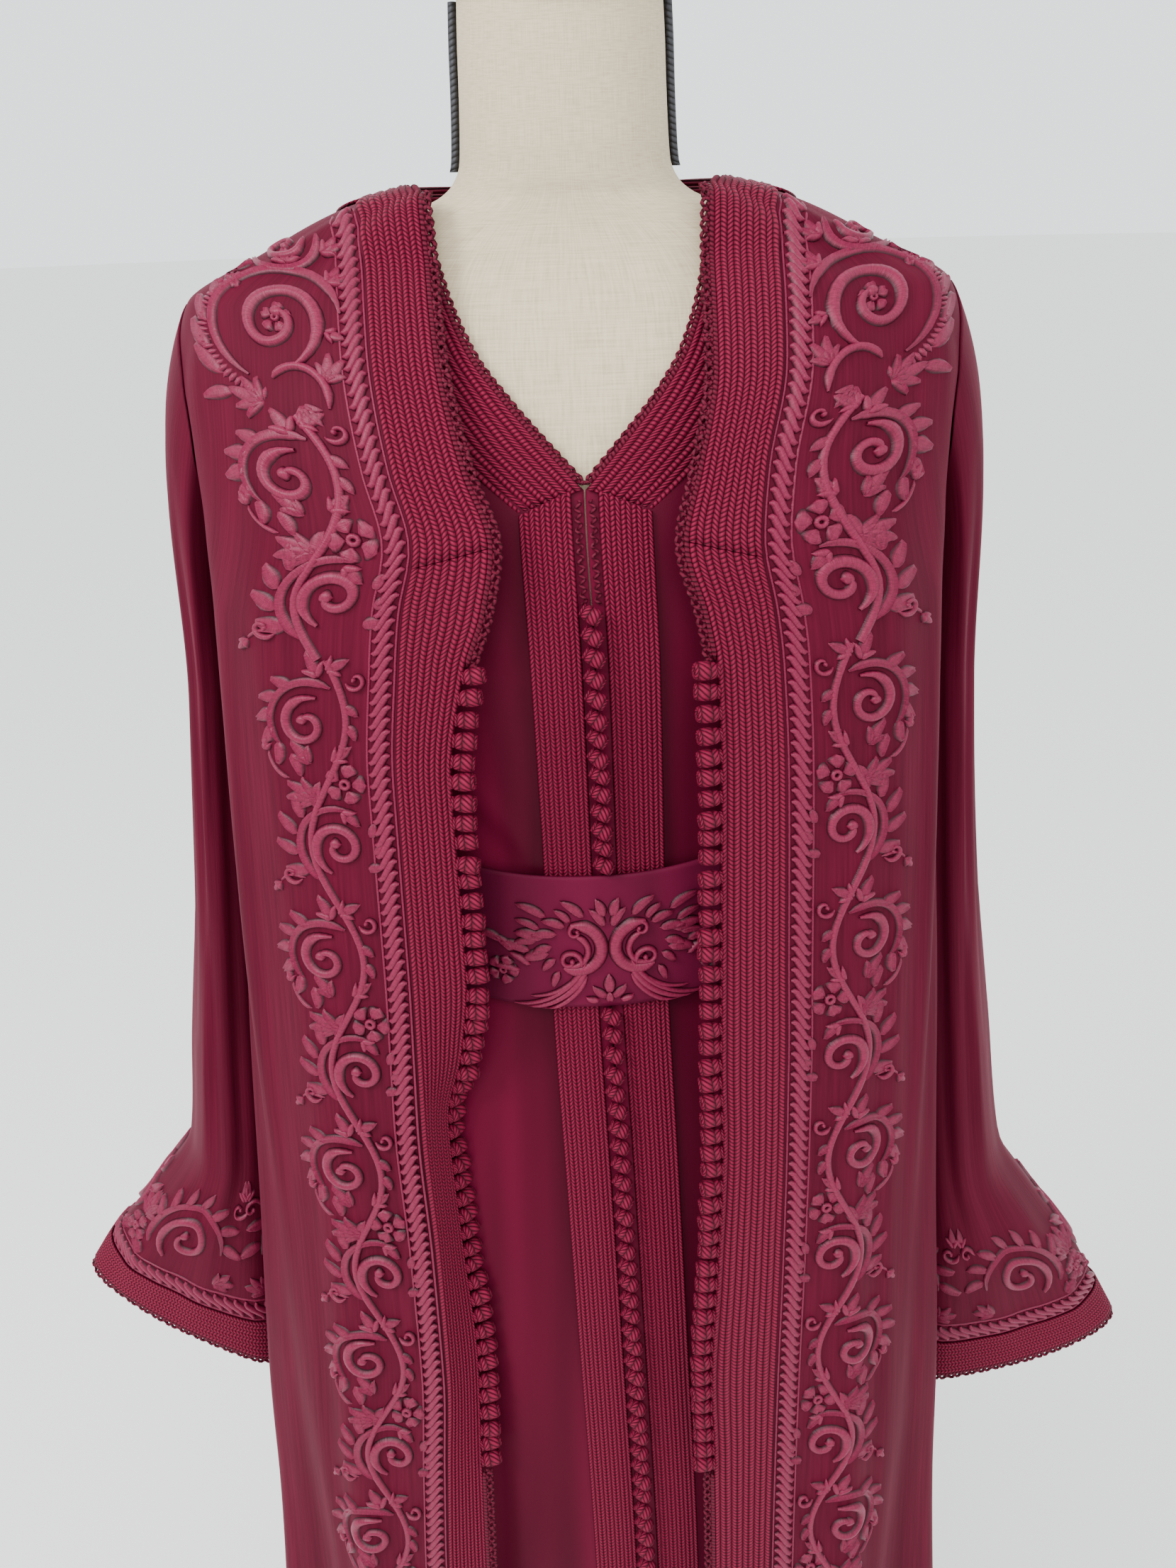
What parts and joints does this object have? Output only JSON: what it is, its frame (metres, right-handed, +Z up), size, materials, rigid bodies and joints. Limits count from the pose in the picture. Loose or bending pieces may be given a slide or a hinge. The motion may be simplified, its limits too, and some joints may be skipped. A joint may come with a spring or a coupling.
{
  "type": "takchita on a dress form",
  "caption": "Two-piece festive dress: open long caftan with bell sleeves over a belted V-neck dress, on a limbless dress form with a pole and a round foot.",
  "frame": {"origin": "centre of the stand's foot, on the floor", "axes": "+Z up, the garment faces -Y, the wearer's left is +X"},
  "size_m": [0.7684, 0.4453, 1.5779],
  "materials": {
    "crepe": "matt crepe with a slight sheen",
    "satin": "soft satin",
    "braid": "silky braided cord",
    "linen": "plain matt linen",
    "dark_wood": "dark satin lacquer",
    "cord": "matt cord"
  },
  "bodies": {
    "root": {"caftan_front_right": "crepe", "caftan_front_left": "crepe", "caftan_back": "crepe", "caftan_sleeve_right": "crepe", "caftan_sleeve_left": "crepe", "dress_front_right": "satin", "dress_front_left": "satin", "dress_back": "satin", "belt": "satin", "dress_placket_right": "braid", "dress_placket_left": "braid", "dress_neckbraid_right": "braid", "dress_neckbraid_left": "braid", "dress_neckbraid_back": "braid", "dress_slitpicot_right": "braid", "dress_slitpicot_left": "braid", "dress_knots_upper": "braid", "dress_knots_lower": "braid", "caftan_frontbraid_right": "braid", "caftan_frontbraid_left": "braid", "caftan_neckbraid_right": "braid", "caftan_neckbraid_left": "braid", "caftan_neckbraid_back": "braid", "caftan_cuffbraid_right": "braid", "caftan_cuffbraid_left": "braid", "caftan_cuffpicot_right": "braid", "caftan_cuffpicot_left": "braid", "caftan_knots_right": "braid", "caftan_knots_left": "braid", "caftan_neckpicot_right": "braid", "caftan_neckpicot_left": "braid", "caftan_frontpicot_right": "braid", "caftan_frontpicot_left": "braid", "form_torso": "linen", "form_cap": "dark_wood", "stand_pole": "dark_wood", "stand_foot": "dark_wood", "form_cord_right": "cord", "form_cord_left": "cord"}
  },
  "joints": []
}
